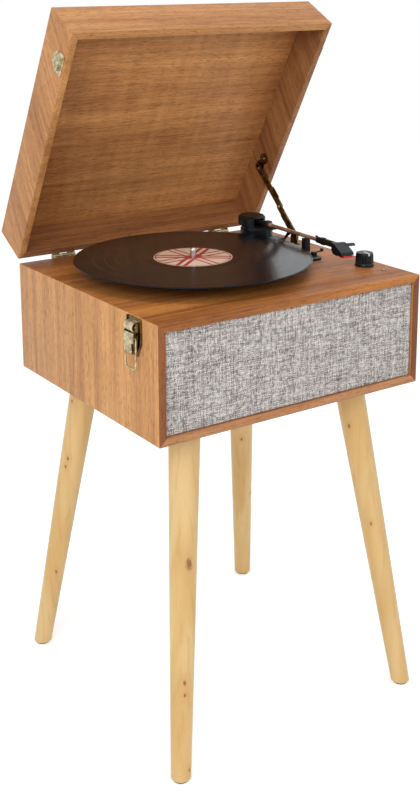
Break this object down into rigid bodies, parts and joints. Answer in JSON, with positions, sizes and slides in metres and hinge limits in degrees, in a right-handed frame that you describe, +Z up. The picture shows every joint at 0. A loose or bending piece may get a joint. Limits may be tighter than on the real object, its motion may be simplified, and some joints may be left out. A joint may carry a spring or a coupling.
{
  "type": "record player",
  "caption": "Wooden cabinet record player on splayed legs: hinged lid on a folding stay, belt-driven turntable, tonearm, cloth-covered front and side latches.",
  "frame": {"origin": "centre of the rest pose's bounding box, at floor level", "axes": "+Z up, +Y from the cloth-covered front to the back, +X to the right seen from the front"},
  "size_m": [0.4068, 0.4155, 0.888],
  "materials": {
    "walnut_veneer": "satin walnut-look veneer",
    "fibreboard": "raw board",
    "grille_weave": "melange linen weave",
    "speaker_metal": "dark plated steel",
    "speaker_paper": "black paper cone",
    "pale_wood": "clear satin lacquer on pale knotty wood",
    "glide_plastic": "grey plastic",
    "antique_brass": "aged satin brass plating",
    "steel": "turned steel",
    "bearing_brass": "turned brass",
    "black_plastic": "satin black moulding",
    "bronze_tube": "satin bronze-brown tube",
    "belt_rubber": "ground rubber",
    "mat_felt": "felt",
    "record_vinyl": "grooved gloss vinyl",
    "label_paper": "printed paper",
    "stylus_red": "red plastic",
    "lamp_lens": "clear lamp lens",
    "circuit_card": "circuit card"
  },
  "bodies": {
    "cabinet": {"deck_panel": "walnut_veneer", "side_panel_left": "walnut_veneer", "side_panel_right": "walnut_veneer", "bottom_panel": "walnut_veneer", "back_panel": "walnut_veneer", "speaker_baffle": "fibreboard", "grille_cloth": "grille_weave", "speaker_drivers": "speaker_metal", "speaker_cones": "speaker_paper", "leg_front_left": "pale_wood", "leg_front_right": "pale_wood", "leg_back_left": "pale_wood", "leg_back_right": "pale_wood", "leg_plates": "speaker_metal", "leg_glides": "glide_plastic", "cabinet_screws": "speaker_metal", "hinge_leaves_cabinet": "antique_brass", "latch_bases": "antique_brass", "stay_foot_bracket": "antique_brass", "drive_motor": "speaker_metal", "platter_bearing": "bearing_brass", "drive_belt": "belt_rubber", "tonearm_base": "black_plastic", "power_lamp": "lamp_lens", "amplifier_board": "circuit_card", "jack_plate": "black_plastic", "dc_inlet": "black_plastic", "rca_sockets": "steel", "aux_socket": "black_plastic"},
    "lid": {"lid_top": "walnut_veneer", "lid_front": "walnut_veneer", "lid_back": "walnut_veneer", "lid_left": "walnut_veneer", "lid_right": "walnut_veneer", "hinge_leaves_lid": "antique_brass", "hinge_pins": "antique_brass", "catch_plates": "antique_brass", "stay_lid_bracket": "antique_brass"},
    "stay_lower": {"stay_lower_link": "antique_brass"},
    "stay_upper": {"stay_upper_link": "antique_brass"},
    "latch_lever_left": {"latch_lever_left": "antique_brass"},
    "latch_lever_right": {"latch_lever_right": "antique_brass"},
    "latch_bail_left": {"latch_bail_left": "antique_brass"},
    "latch_bail_right": {"latch_bail_right": "antique_brass"},
    "turntable": {"platter": "black_plastic", "slip_mat": "mat_felt", "record": "record_vinyl", "record_label": "label_paper", "spindle": "steel"},
    "motor_pulley": {"motor_pulley": "steel"},
    "arm_turret": {"arm_turret": "black_plastic"},
    "tonearm": {"arm_tube": "bronze_tube", "headshell": "black_plastic", "cartridge": "black_plastic", "stylus": "stylus_red"},
    "cue_lever": {"cue_lever": "black_plastic"},
    "cue_platform": {"cue_platform": "black_plastic"},
    "arm_clip": {"arm_clip": "black_plastic"},
    "volume_knob": {"volume_knob": "black_plastic"},
    "speed_lever": {"speed_lever": "black_plastic"}
  },
  "joints": [
    {"name": "lid_hinge", "type": "hinge", "parent": "cabinet", "child": "lid", "pos_m": [0, 0.15944, 0.5573], "axis": [-1, 0, 0], "range_deg": [-60.83, 0]},
    {"name": "stay_lower_pivot", "type": "hinge", "parent": "cabinet", "child": "stay_lower", "pos_m": [0.17675, 0.04152, 0.565], "axis": [-1, 0, 0], "range_deg": [-126, 1]},
    {"name": "stay_upper_pivot", "type": "hinge", "parent": "lid", "child": "stay_upper", "pos_m": [0.17875, 0.13392, 0.6525], "axis": [-1, 0, 0], "range_deg": [-1, 102]},
    {"name": "latch_lever_left_pivot", "type": "hinge", "parent": "cabinet", "child": "latch_lever_left", "pos_m": [-0.1972, -0.13898, 0.5455], "axis": [0, -1, 0], "range_deg": [-100, 0]},
    {"name": "latch_lever_right_pivot", "type": "hinge", "parent": "cabinet", "child": "latch_lever_right", "pos_m": [0.1972, -0.13898, 0.5455], "axis": [0, 1, 0], "range_deg": [-100, 0]},
    {"name": "latch_bail_left_pivot", "type": "hinge", "parent": "latch_lever_left", "child": "latch_bail_left", "pos_m": [-0.1996, -0.13898, 0.5335], "axis": [0, 1, 0], "range_deg": [0, 165]},
    {"name": "latch_bail_right_pivot", "type": "hinge", "parent": "latch_lever_right", "child": "latch_bail_right", "pos_m": [0.1996, -0.13898, 0.5335], "axis": [0, -1, 0], "range_deg": [0, 165]},
    {"name": "platter_spin", "type": "hinge", "parent": "cabinet", "child": "turntable", "pos_m": [-0.0305, -0.01048, 0.5565], "axis": [0, 0, -1], "continuous": true},
    {"name": "pulley_spin", "type": "hinge", "parent": "cabinet", "child": "motor_pulley", "pos_m": [-0.08848, 0.0475, 0.5565], "axis": [0, 0, -1], "continuous": true},
    {"name": "tonearm_swing", "type": "hinge", "parent": "cabinet", "child": "arm_turret", "pos_m": [0.1345, 0.07702, 0.5565], "axis": [0, 0, -1], "range_deg": [0, 44]},
    {"name": "cue_lever_turn", "type": "hinge", "parent": "cabinet", "child": "cue_lever", "pos_m": [0.147, 0.03202, 0.565], "axis": [-1, 0, 0], "range_deg": [-0.1, 70.2]},
    {"name": "tonearm_lift", "type": "hinge", "parent": "arm_turret", "child": "tonearm", "pos_m": [0.1345, 0.07702, 0.5865], "axis": [-0.9993, 0.0384, 0], "range_deg": [0, 4.2]},
    {"name": "cue_platform_rise", "type": "slide", "parent": "cabinet", "child": "cue_platform", "axis": [0, 0, 1], "range_m": [-0.0001, 0.0031]},
    {"name": "arm_clip_flip", "type": "hinge", "parent": "cabinet", "child": "arm_clip", "pos_m": [0.13668, -0.03815, 0.5845], "axis": [-0.0384, -0.9993, 0], "range_deg": [0, 165]},
    {"name": "volume_knob_turn", "type": "hinge", "parent": "cabinet", "child": "volume_knob", "pos_m": [0.1665, -0.11298, 0.5565], "axis": [0, 0, -1], "range_deg": [-150, 150]},
    {"name": "speed_lever_turn", "type": "hinge", "parent": "cabinet", "child": "speed_lever", "pos_m": [0.143, -0.03898, 0.5615], "axis": [0, 0, 1], "range_deg": [-18, 18]}
  ],
  "couplings": [
    {"joint": "stay_lower_pivot", "follows": "lid_hinge", "ratio": 2.039},
    {"joint": "stay_upper_pivot", "follows": "lid_hinge", "ratio": -1.6517},
    {"joint": "pulley_spin", "follows": "platter_spin", "ratio": 12.5},
    {"joint": "cue_lever_turn", "follows": "tonearm_lift", "ratio": 16.667},
    {"joint": "cue_platform_rise", "follows": "tonearm_lift", "m_per_rad": 0.040926}
  ]
}
